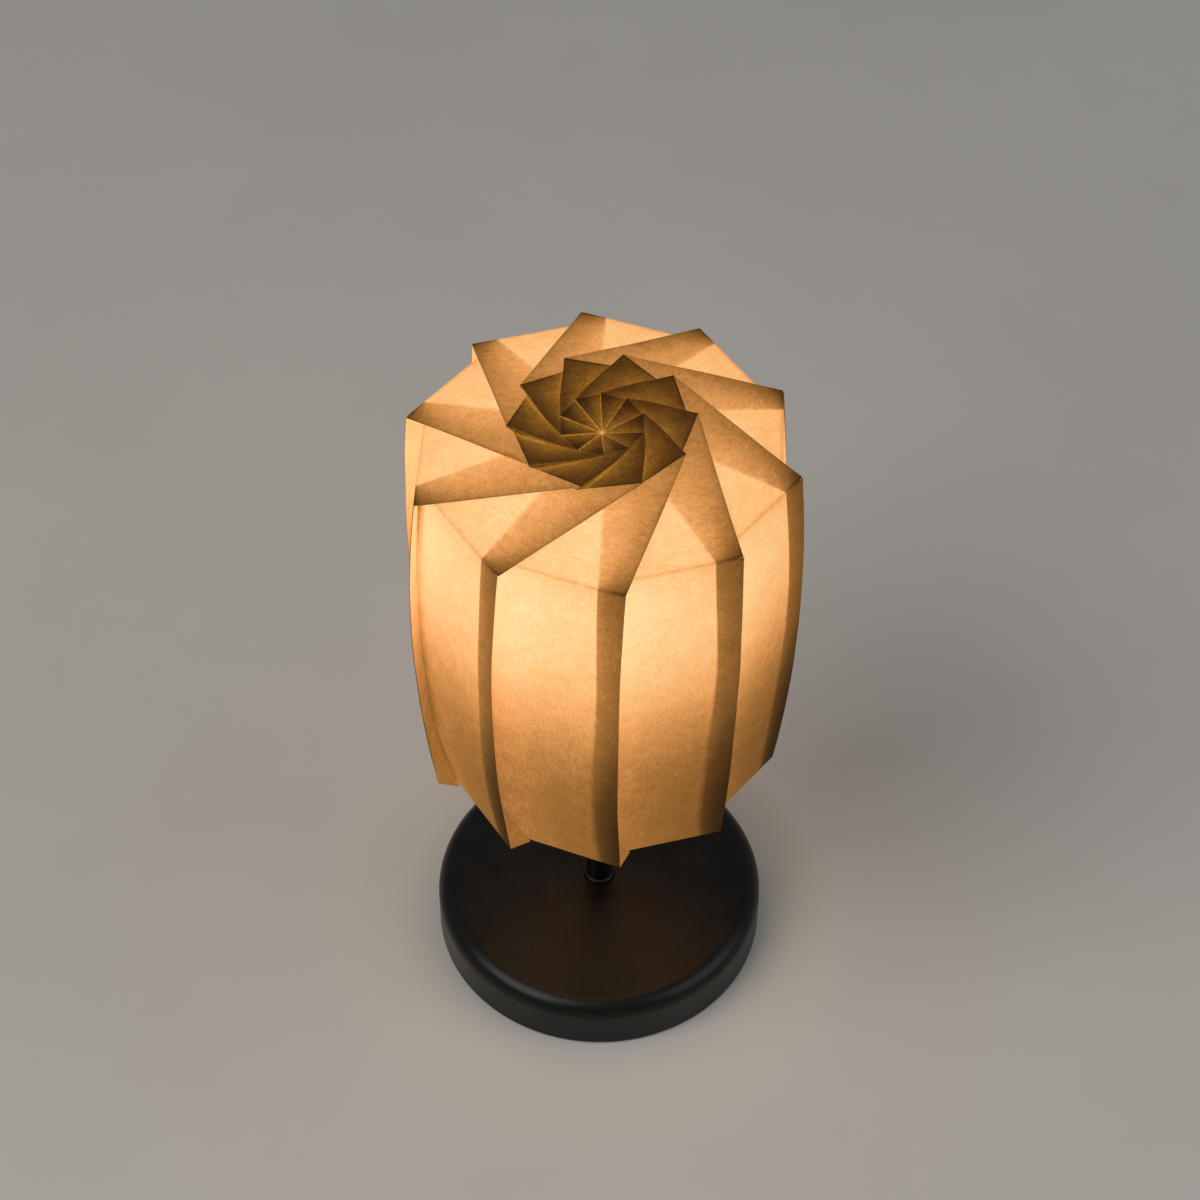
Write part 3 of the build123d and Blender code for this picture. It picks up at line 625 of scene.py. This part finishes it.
def crossing(first_start, first_end, second_start, second_end):
    """Share of the second line at which it meets the first, seen from above."""
    way, other = first_end - first_start, second_end - second_start
    gap = first_start - second_start
    return (gap.x * way.y - gap.y * way.x) / (other.x * way.y - other.y * way.x)


hidden_radius = rim_radius - pleat_tuck
hidden_start = corner_angle - fold_lead
tip_angle = corner_angle + tip_twist
eye_angle = tip_angle + eye_twist

strap_foot = polar(hidden_radius, hidden_start - pitch)
strap_corner = polar(rim_radius, corner_angle)
tip = polar(tip_radius, tip_angle, tip_rise)
strap_plane = (strap_foot, strap_corner, tip)
strap_end = drop_to_facet(strap_plane, polar(strap_end_radius, hidden_start - pitch + strap_end_lead))
strip_foot = drop_to_facet(strap_plane, polar(strip_foot_radius, hidden_start))
strip_apex = drop_to_facet(strap_plane, polar(strip_apex_radius, 0.0))

next_tip = polar(tip_radius, tip_angle - pitch, tip_rise)
eye = polar(eye_radius, eye_angle, eye_rise)
next_eye = polar(eye_radius, eye_angle - pitch, eye_rise)
free_edge = (next_eye - next_tip).normalized()
edge_cover = tip_cover / (eye - tip).length
petal_start = drop_to_facet(strap_plane, next_tip + free_edge * tip_cover)
petal_plane = (tip, petal_start, eye)

# Under the next petal, a petal's outer edge runs straight on for the depth of its tuck.
tuck_way = Vector((-free_edge.y, free_edge.x, 0)).normalized()
tuck_corner = petal_start + (petal_start - tip).normalized() * petal_tuck

# What closes the shade under the petals, from a strap's free edge to the next strap's end.
next_foot = polar(hidden_radius, hidden_start)
next_end = turned(strap_end, pitch)
next_corner = turned(tuck_corner, pitch)
low_start = petal_start - Vector((0, 0, closing_drop))
closing = (
    (strap_corner, tip, next_foot),
    (tip, low_start, next_foot),
    (low_start, next_end, next_foot),
    (tip, low_start, next_corner),
    (low_start, next_end, next_corner),
)
strap_under_glow = 225
closing_glow, closing_under_glow = 110, 118

# Columns of a strap: across the soft edge of its dark strip, and on to its free edge.
strip_edge_columns = (-0.6, -0.3, 0, 0.3, 0.6)
strip_columns = (0, 0.15, 0.32, 0.5, 0.68, 0.84, 0.93, 0.97, 1)
strap_rows = [0, 0.008, 0.02, 0.04] + shares(26, start=0.06)


def strip_blur(along):
    """Half the width over which a strap's dark strip begins, as a share of the strap's width."""
    return 0.012 + 0.02 * along


def strap_glow(across, edge, along, away):
    """across: 0 at the hidden edge to 1 at the free edge, with the strip from edge on."""
    rim_glow, inner_gain = 201, 19
    bright = rim_glow + inner_gain * along
    strip = max(0.0, (1 - across) / (1 - edge))
    foot_glow, strip_gain, end_loss = 84, 68, 12
    base = foot_glow + strip_gain * (1 - fade(along, over=0.13)) - end_loss * fade(1 - along, over=0.08)
    even_slope, foot_slope, free_edge_loss = 50, 45, 14
    slope = even_slope + (foot_slope * fade(along, over=0.15) if strip > 0.5 else 0)
    dark = base + slope * (strip - 0.5) - free_edge_loss * fade(strip, over=0.03)
    blur = strip_blur(along)
    glow = blend(bright, dark, rise_between(edge - blur, edge + blur, across))
    return glow - crease_shade(away)


def strap_shares(edge, along):
    """Columns of a strap whose dark strip begins at an edge."""
    blur = strip_blur(along)
    left = [(edge - blur) * share for share in shares(10)]
    middle = [edge + blur * share for share in strip_edge_columns]
    strip = [blend(edge + blur, 1, share) for share in strip_columns]
    return left + middle + strip


def pleat_of_top():
    """One strap of the twisted top, with the facets that close the shade under its end."""
    sheet = Sheet()
    foot_edge = (strip_foot - strap_foot).length / (strap_corner - strap_foot).length
    inner_run, petal_run = (tuck_corner - strap_end).length, (tip - tuck_corner).length
    bend = inner_run / (inner_run + petal_run)
    end_edge = crossing(strip_foot, strip_apex, strap_end, tuck_corner) * bend
    feet = [blend(strap_foot, strap_corner, share) for share in strap_shares(foot_edge, 0)]
    ends = []
    for share in strap_shares(end_edge, 1):
        if share < bend:
            ends.append(blend(strap_end, tuck_corner, share / bend))
        else:
            ends.append(blend(tuck_corner, tip, (share - bend) / (1 - bend)))
    grid = []
    for along in strap_rows:
        edge = blend(foot_edge, end_edge, along)
        row = []
        for share, foot, end in zip(strap_shares(edge, along), feet, ends):
            point = blend(foot, end, along)
            row.append((point, strap_glow(share, edge, along, (point - foot).length)))
        grid.append(row)
    sheet.slab(grid, paper, strap_under_glow)
    for first, second, third in closing:
        sheet.triangle(first, second, third, 4, closing_glow, closing_under_glow)
    return sheet.make("pleat of the top")


# ---- the rosette ----

petal_under_glow = 60
petal_rim_glow = 84             # on the thin border of a petal's free edge
bow_lean = 1.4                  # above 1, the bow's fullest part lies nearer the eye

# Rows of a petal, from its free edge over its body to the light edge of the petal above.
petal_rows = [0, 0.015, 0.04] + shares(12, start=0.08, end=0.88)
petal_rows += [0.9, 0.915, 0.93, 0.955, 0.97, 0.985, 1]
petal_columns = shares(22)

# A sector of the dish begins under its neighbour, and ends in a fold line.
sector_columns = (-0.05, 0, 0.08, 0.18, 0.3, 0.42, 0.54, 0.66, 0.78, 0.9, 1)
fold_start = 0.6                # share of the fold line's width at which it is fully light
widest_fold = 0.45              # near the centre, a fold line takes up to this share of a sector
smallest_reach = 0.02
dish_rows = [0, 0.03, 0.06, 0.1, 0.15] + shares(12, start=0.2)


def petal_edge(along):
    """A petal's free edge from its tip to the eye, which bows outward on the eye's side."""
    way = eye - tip
    outward = Vector((way.y, -way.x, 0)).normalized()
    bowed = max(0.0, (along - edge_cover) / (1 - edge_cover)) ** bow_lean
    return blend(tip, eye, along) + outward * petal_bow * arch(bowed)


def petal_glow(along, across):
    """Many sheets: dark along a petal's free edge, light along the edge that lies over it."""
    tip_glow, tip_gain = 50, 42
    near_tip = tip_glow + tip_gain * across ** 4
    body_glow, cover_gain, eye_gain, middle_gain, eye_loss = 48, 50, 22, 6, 4
    body = body_glow + cover_gain * max(0.0, across - 0.05)
    body += eye_gain * fade(across, over=0.06) * rise_between(0.4, 1, along)
    body += middle_gain * bell(along, centre=0.4, width=0.2) - eye_loss * along
    line_gain, second_line_gain = 17, 6
    lit_edge = line_gain * rise_between(0.955, 0.985, across)
    lit_edge += second_line_gain * bell(across, centre=0.915, width=0.012)
    even_loss, tip_loss, free_edge_loss, eye_edge_loss = 4, 14, 10, 12
    dark_edge = even_loss + tip_loss * fade(along, over=0.02) + free_edge_loss * fade(across, over=0.02)
    dark_edge += eye_edge_loss * fade(1 - along, over=0.02)
    return blend(near_tip, body, 1 - fade(along, over=0.13)) + lit_edge - dark_edge


def dish_glow(reach, turn):
    """The dished centre: each sector darkens towards the fold that lies over the next."""
    centre_glow, rim_loss, centre_gain, edge_loss = 99, 42, 60, 8
    shaded = (17 + 12 * reach) * rise_between(0.0, 0.85, turn)
    lit = centre_gain * bell(reach, centre=0, width=0.06)
    return centre_glow - rim_loss * reach - shaded + lit - edge_loss * rise_between(0.85, 1.0, reach)


def dish_fold_glow(reach):
    """The thin light line along a fold of the dish."""
    line_glow, rim_loss, centre_gain = 138, 44, 50
    return line_glow - rim_loss * reach ** 0.6 + centre_gain * bell(reach, centre=0, width=0.07)


def dish_ring(centre, low, high, reach):
    """One ring of points of a sector, with a fold line of the same width at any reach."""
    arc = max(reach, smallest_reach) * eye_radius * radians(pitch)
    line = min(widest_fold, dish_fold_width / arc)
    turns = [(1 - line) * share for share in sector_columns]
    ring = [(blend(centre, blend(low, high, turn), reach), dish_glow(reach, turn)) for turn in turns]
    for turn in (1 - line * fold_start, 1):
        ring.append((blend(centre, blend(low, high, turn), reach), dish_fold_glow(reach)))
    return ring


def pleat_of_rosette():
    """One petal of the rosette and its sector of the dished centre."""
    sheet = Sheet()
    free_side = [drop_to_facet(petal_plane, petal_edge(along)) for along in petal_columns]
    covered_side = [drop_to_facet(petal_plane, turned(petal_edge(blend(edge_cover, 1, along)), -pitch))
                    for along in petal_columns]
    grid = []
    for across in petal_rows:
        grid.append([(blend(free, covered, across), petal_glow(along, across))
                     for along, free, covered in zip(petal_columns, free_side, covered_side)])
    tuck_end = covered_side[-1] - free_edge * tuck_draw_back + tuck_way * tuck_offset
    tuck = [drop_to_facet(petal_plane, blend(tuck_corner, tuck_end, along)) for along in petal_columns]
    grid.append([(point, petal_under_glow) for point in tuck])
    sheet.slab(grid, petal_sheet, petal_under_glow, petal_rim_glow)
    # The layer turned back under the petal's free edge.
    sheet.triangle(tip, eye, turned(tuck[0], pitch), 3, petal_under_glow, petal_under_glow)
    centre = polar(0, 0, centre_rise)
    high = blend(centre, eye - Vector((0, 0, dish_drop)), dish_overlap)
    low = blend(centre, next_eye - Vector((0, 0, dish_drop + dish_step)), dish_overlap)
    rings = [dish_ring(centre, low, high, reach) for reach in dish_rows]
    sheet.slab(rings, dish_sheet, petal_under_glow)
    return sheet.make("pleat of the rosette")


# ======================================================== pleats round the axis

unevenness = 1.6 * mm           # how far the hand-folded ring strays from an even one, at most
wave_scale = 16.0
wave_seed = 7.0
same_point = 0.02 * mm          # points of neighbouring pleats closer than this become one


def pleat_array_tree():
    """Repeats one pleat round the upright axis and gives the ring a hand-folded unevenness."""
    tree, graph, given, result = new_group(
        "pleats round the axis", "GeometryNodeTree",
        [("Pleat", "NodeSocketGeometry", None), ("Pleats", "NodeSocketInt", pleats),
         ("Unevenness", value_socket, 0.0), ("Wave scale", value_socket, wave_scale),
         ("Seed", value_socket, 1.0), ("Paper", "NodeSocketMaterial", None)],
        [("Ring", "NodeSocketGeometry")],
    )
    line = graph.add("GeometryNodeMeshLine", {"Count": given["Pleats"], "Offset": (0, 0, 0)})
    index = graph.add("GeometryNodeInputIndex").outputs[0]
    step = graph.math("DIVIDE", 2 * pi, given["Pleats"])
    spin = graph.add("ShaderNodeCombineXYZ", {"Z": graph.math("MULTIPLY", index, step)}).outputs[0]
    placed = graph.add("GeometryNodeInstanceOnPoints", {
        "Points": line.outputs[0], "Instance": given["Pleat"], "Rotation": spin})
    real = graph.add("GeometryNodeRealizeInstances", {0: placed.outputs[0]})
    joined = graph.add("GeometryNodeMergeByDistance", {"Geometry": real.outputs[0], "Distance": same_point})
    place = graph.add("GeometryNodeInputPosition").outputs[0]
    wave = graph.add("ShaderNodeTexNoise", {
        "Vector": place, "W": given["Seed"], "Scale": given["Wave scale"], "Detail": 1.0},
        noise_dimensions="4D").outputs["Color"]
    middle = graph.vector("SUBTRACT", wave, (0.5, 0.5, 0.5))
    shift = graph.add("ShaderNodeVectorMath", {0: middle, "Scale": given["Unevenness"]}, operation="SCALE")
    uneven = graph.add("GeometryNodeSetPosition", {"Geometry": joined.outputs[0], "Offset": shift.outputs[0]})
    whole = graph.add("GeometryNodeRealizeInstances", {0: uneven.outputs[0]})
    painted = graph.add("GeometryNodeSetMaterial", {"Geometry": whole.outputs[0], "Material": given["Paper"]})
    graph.tree.links.new(painted.outputs[0], result.inputs["Ring"])
    return tree


pleat_array = pleat_array_tree()


def fold_round(pleat, name, material):
    """Runs the pleat array on one pleat and keeps the result as a plain piece of the shade."""
    pleat.data.materials.append(material)
    array = pleat.modifiers.new("pleats", "NODES")
    array.node_group = pleat_array
    values = {"Pleats": pleats, "Unevenness": unevenness, "Wave scale": wave_scale, "Seed": wave_seed,
              "Paper": material}
    for item in pleat_array.interface.items_tree:
        if item.in_out == "INPUT" and item.name in values:
            array[item.identifier] = values[item.name]
    graph = bpy.context.evaluated_depsgraph_get()
    mesh = bpy.data.meshes.new_from_object(pleat.evaluated_get(graph))
    mesh.name = name
    bpy.data.objects.remove(pleat)
    piece = bpy.data.objects.new(name, mesh)
    bpy.context.scene.collection.objects.link(piece)
    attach(piece, "shade")
    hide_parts("pleated_shade")


fold_round(pleat_of_wall(), "shade_wall", shade_paper)
fold_round(pleat_of_top(), "shade_straps", shade_paper)
fold_round(pleat_of_rosette(), "shade_rosette", layered_paper)


# ====================================================== finishes of the fittings

dust_colour = "8f887c"
warm_white = "fff1d8"           # what the tone of a lit part drifts towards
rubbed_share = 0.55             # how much of its worn colour a rubbed edge shows


def coated(name, dark, light, worn, rough, bump=0.08 * mm, metallic=0.0, specular=0.5, dusty=0.35, rings=0.0):
    """Paint, plastic, ceramic or metal, with cloudy colour, rubbed edges, dust and fine relief."""
    material, graph, surface = new_material(name)
    marks = use_group(graph, worn_edge)
    tone = graph.mix(graph.spread_noise(marks["Clouds"]), colour(dark), colour(light))
    tone = graph.mix(graph.math("MULTIPLY", marks["Edges"], rubbed_share), tone, colour(worn))
    tone = graph.mix(graph.math("MULTIPLY", marks["Dust"], dusty), tone, colour(dust_colour))
    height = marks["Speckle"]
    relief = graph.spread_noise(marks["Clouds"], rough - 0.05, rough + 0.07)
    if rings:
        turned_marks = use_group(graph, turned_metal)["Rings"]
        height = graph.math("ADD", height, graph.math("MULTIPLY", turned_marks, rings))
        relief = graph.math("ADD", relief, graph.spread_noise(turned_marks, -0.06, 0.06))
    finish_with(graph, surface, height, bump, strength=0.5, Base_Color=tone, Roughness=relief,
                Metallic=metallic, Specular_IOR_Level=specular)
    return material


def glowing(name, tone, strength, rough):
    """A glass or plastic part that the light comes from."""
    material, graph, surface = new_material(name)
    marks = use_group(graph, worn_edge)
    lit = graph.mix(graph.spread_noise(marks["Clouds"]), colour(tone), colour(warm_white))
    relief = graph.spread_noise(marks["Speckle"], rough - 0.05, rough + 0.05)
    finish_with(graph, surface, marks["Speckle"], distance=0.04 * mm, strength=0.3, Base_Color=lit,
                Roughness=relief, Emission_Color=lit, Emission_Strength=strength)
    return material


# By the name that a solid's own material has: a name, then the dark, light and worn colour.
finishes = {
    "base_black": coated("satin black paint", "050404", "080706", "231f1b",
                         rough=0.33, bump=0.06 * mm, specular=0.32, rings=0.25),
    "stem_black": coated("satin black tube", "050404", "090707", "231f1b",
                         rough=0.32, bump=0.05 * mm, specular=0.36, rings=0.4),
    "plate_black": coated("black plate", "0b0a0a", "131110", "3a3531", rough=0.5, bump=0.1 * mm),
    "ballast_iron": coated("cast iron", "241f1c", "3a332e", "57504a",
                           rough=0.62, bump=0.4 * mm, metallic=0.8, dusty=0.5),
    "zinc_steel": coated("zinc plated steel", "8e9092", "b3b4b3", "d6d6d2",
                         rough=0.3, bump=0.04 * mm, metallic=1.0, rings=1.0),
    "foot_rubber": coated("foot rubber", "100f0f", "1b1a19", "2a2826", rough=0.78, bump=0.2 * mm),
    "black_plastic": coated("black plastic", "0c0c0c", "151414", "2c2a28", rough=0.42),
    "holder_plastic": coated("lampholder plastic", "0d0c0c", "171514", "2c2a28", rough=0.38, bump=0.06 * mm),
    "steatite": coated("glazed ceramic", "c9c2b4", "e0dacd", "efeae0", rough=0.36, bump=0.1 * mm),
    "contact_brass": coated("contact brass", "a07a35", "c49d55", "e0c27e",
                            rough=0.27, bump=0.04 * mm, metallic=1.0, rings=0.8),
    "bulb_white": coated("bulb white", "dcd9d2", "eae7e1", "f4f2ee", rough=0.4, bump=0.06 * mm),
    "cap_metal": coated("cap metal", "9fa1a2", "c6c7c6", "e2e2df",
                        rough=0.24, bump=0.04 * mm, metallic=1.0, rings=0.8),
    "insulator_black": coated("black glass", "08080a", "101012", "2a2a2c", rough=0.2, bump=0.03 * mm),
    "board_white": coated("white board", "d8dad8", "eceeec", "f6f6f4", rough=0.5, bump=0.05 * mm),
    "board_green": coated("green board", "12401f", "1c5a2e", "3a7a4a", rough=0.38, bump=0.06 * mm),
    "opal": glowing("opal cover", "ffd9a0", strength=1.35, rough=0.35),
    "led_yellow": glowing("yellow phosphor", "ffc23a", strength=0.6, rough=0.45),
}
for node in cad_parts.values():
    for place in node.material_slots:
        place.material = finishes.get(place.material.name.split(".")[0], place.material)


# ============================================================ floor and light

floor_half = 3.0
light_aim = Vector((0, 0, 0.15))


def floor():
    """A plain pale floor, large enough to fill the photo's view."""
    mesh = bpy.data.meshes.new("floor")
    corners = [(-floor_half, -floor_half, 0), (floor_half, -floor_half, 0),
               (floor_half, floor_half, 0), (-floor_half, floor_half, 0)]
    mesh.from_pydata(corners, [], [(0, 1, 2, 3)])
    material, graph, surface = new_material("pale floor")
    marks = use_group(graph, paper_fibre, Cloud_scale=3.0, Grain_scale=300.0)
    tone = graph.mix(graph.spread_noise(marks["Clouds"]), colour("cfcbc4"), colour("d6d2cb"))
    finish_with(graph, surface, marks["Grain"], distance=0.2 * mm, strength=0.2, Base_Color=tone,
                Roughness=0.8, Specular_IOR_Level=0.2)
    mesh.materials.append(material)
    piece = bpy.data.objects.new("floor", mesh)
    bpy.context.scene.collection.objects.link(piece)


def soft_light(name, place, size, power, tone):
    """A large square lamp that looks at the shade."""
    light = bpy.data.lights.new(name, "AREA")
    light.shape = "SQUARE"
    light.size = size
    light.energy = power
    light.color = tone
    lamp = bpy.data.objects.new(name, light)
    lamp.location = place
    lamp.rotation_euler = (light_aim - lamp.location).to_track_quat("-Z", "Y").to_euler()
    bpy.context.scene.collection.objects.link(lamp)


floor()
soft_light("key", place=(-1.3, -0.9, 1.9), size=1.6, power=22.0, tone=(1.0, 0.97, 0.93))
soft_light("fill", place=(1.6, -0.6, 1.3), size=1.6, power=8.0, tone=(0.93, 0.96, 1.0))
world = bpy.data.worlds.new("soft room")
world.use_nodes = True
sky = world.node_tree.nodes["Background"]
sky.inputs["Color"].default_value = (0.86, 0.88, 0.9, 1.0)
sky.inputs["Strength"].default_value = 0.22
bpy.context.scene.world = world
bpy.context.scene.view_settings.view_transform = "Standard"

# ==================================================================== camera

# The photo's eye point from the middle of the rim, in radii of the rim, and its way of looking.
camera_right, camera_back, camera_up = -0.0068, 9.333, 9.2695
camera_down_tilt = 48.1
camera_roll = 0.39
focal_length, sensor_width = 79.78, 36.0

lens = bpy.data.cameras.new("photograph")
lens.lens = focal_length
lens.sensor_width = sensor_width
lens.clip_start = 0.01
camera = bpy.data.objects.new("photograph", lens)
eye_point = Vector((camera_right * rim_radius, -camera_back * rim_radius, rim_level + camera_up * rim_radius))
tilt = Matrix.Rotation(radians(90 - camera_down_tilt), 4, "X") @ Matrix.Rotation(radians(camera_roll), 4, "Z")
camera.matrix_world = Matrix.Translation(eye_point) @ tilt
bpy.context.scene.collection.objects.link(camera)
bpy.context.scene.camera = camera
